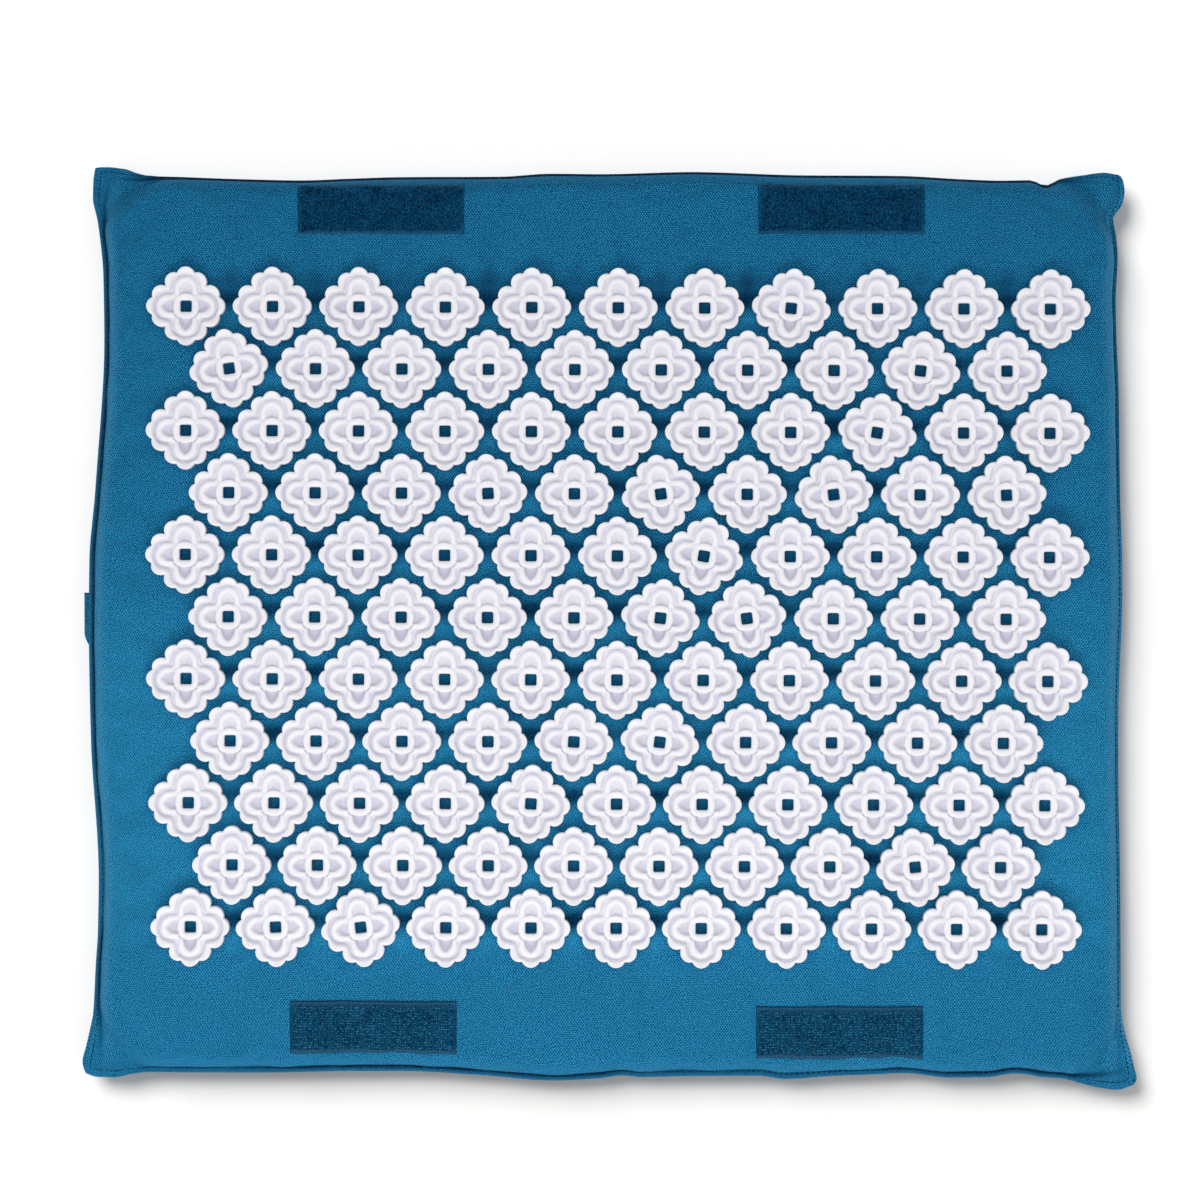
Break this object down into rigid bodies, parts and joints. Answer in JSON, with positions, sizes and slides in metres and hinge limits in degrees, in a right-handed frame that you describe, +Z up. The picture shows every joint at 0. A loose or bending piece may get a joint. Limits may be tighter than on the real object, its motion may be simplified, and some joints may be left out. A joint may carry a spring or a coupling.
{
  "type": "acupressure mat",
  "caption": "Thin rectangular foam mat in a sewn canvas cover, its top face set with rows of petalled plastic spike rosettes, with hook-and-loop patches on its long edges.",
  "frame": {"origin": "middle of the mat's outline, on the surface that the mat lies on", "axes": "+X along the long side, away from the edge with the small side tab; +Y towards the long edge with the loop patches; +Z up, out of the spiked face"},
  "size_m": [0.408, 0.3574, 0.0258],
  "materials": {
    "canvas": "plain-woven cotton canvas, matt",
    "spike_plastic": "moulded, satin gloss",
    "loop_tape": "napped loop pile",
    "hook_tape": "rows of nylon hooks between woven selvedges",
    "tab_tape": "ribbed woven tape",
    "foam": "open-cell foam"
  },
  "bodies": {
    "root": {"bottom_panel": "canvas", "foam_core": "foam", "hook_patch_left": "hook_tape", "hook_patch_right": "hook_tape", "loop_patch_left": "loop_tape", "loop_patch_right": "loop_tape", "side_tab": "tab_tape", "spike_rosette_r02_c01": "spike_plastic", "spike_rosette_r02_c02": "spike_plastic", "spike_rosette_r02_c03": "spike_plastic", "spike_rosette_r02_c04": "spike_plastic", "spike_rosette_r02_c05": "spike_plastic", "spike_rosette_r02_c06": "spike_plastic", "spike_rosette_r02_c07": "spike_plastic", "spike_rosette_r02_c08": "spike_plastic", "spike_rosette_r02_c09": "spike_plastic", "spike_rosette_r02_c10": "spike_plastic", "spike_rosette_r04_c01": "spike_plastic", "spike_rosette_r04_c02": "spike_plastic", "spike_rosette_r04_c03": "spike_plastic", "spike_rosette_r04_c04": "spike_plastic", "spike_rosette_r04_c05": "spike_plastic", "spike_rosette_r04_c06": "spike_plastic", "spike_rosette_r04_c07": "spike_plastic", "spike_rosette_r04_c08": "spike_plastic", "spike_rosette_r04_c09": "spike_plastic", "spike_rosette_r04_c10": "spike_plastic", "spike_rosette_r06_c01": "spike_plastic", "spike_rosette_r06_c02": "spike_plastic", "spike_rosette_r06_c03": "spike_plastic", "spike_rosette_r06_c04": "spike_plastic", "spike_rosette_r06_c05": "spike_plastic", "spike_rosette_r06_c06": "spike_plastic", "spike_rosette_r06_c07": "spike_plastic", "spike_rosette_r06_c08": "spike_plastic", "spike_rosette_r06_c09": "spike_plastic", "spike_rosette_r06_c10": "spike_plastic", "spike_rosette_r08_c01": "spike_plastic", "spike_rosette_r08_c02": "spike_plastic", "spike_rosette_r08_c03": "spike_plastic", "spike_rosette_r08_c04": "spike_plastic", "spike_rosette_r08_c05": "spike_plastic", "spike_rosette_r08_c06": "spike_plastic", "spike_rosette_r08_c07": "spike_plastic", "spike_rosette_r08_c08": "spike_plastic", "spike_rosette_r08_c09": "spike_plastic", "spike_rosette_r08_c10": "spike_plastic", "spike_rosette_r10_c01": "spike_plastic", "spike_rosette_r10_c02": "spike_plastic", "spike_rosette_r10_c03": "spike_plastic", "spike_rosette_r10_c04": "spike_plastic", "spike_rosette_r10_c05": "spike_plastic", "spike_rosette_r10_c06": "spike_plastic", "spike_rosette_r10_c07": "spike_plastic", "spike_rosette_r10_c08": "spike_plastic", "spike_rosette_r10_c09": "spike_plastic", "spike_rosette_r10_c10": "spike_plastic", "top_panel": "canvas"}
  },
  "joints": []
}
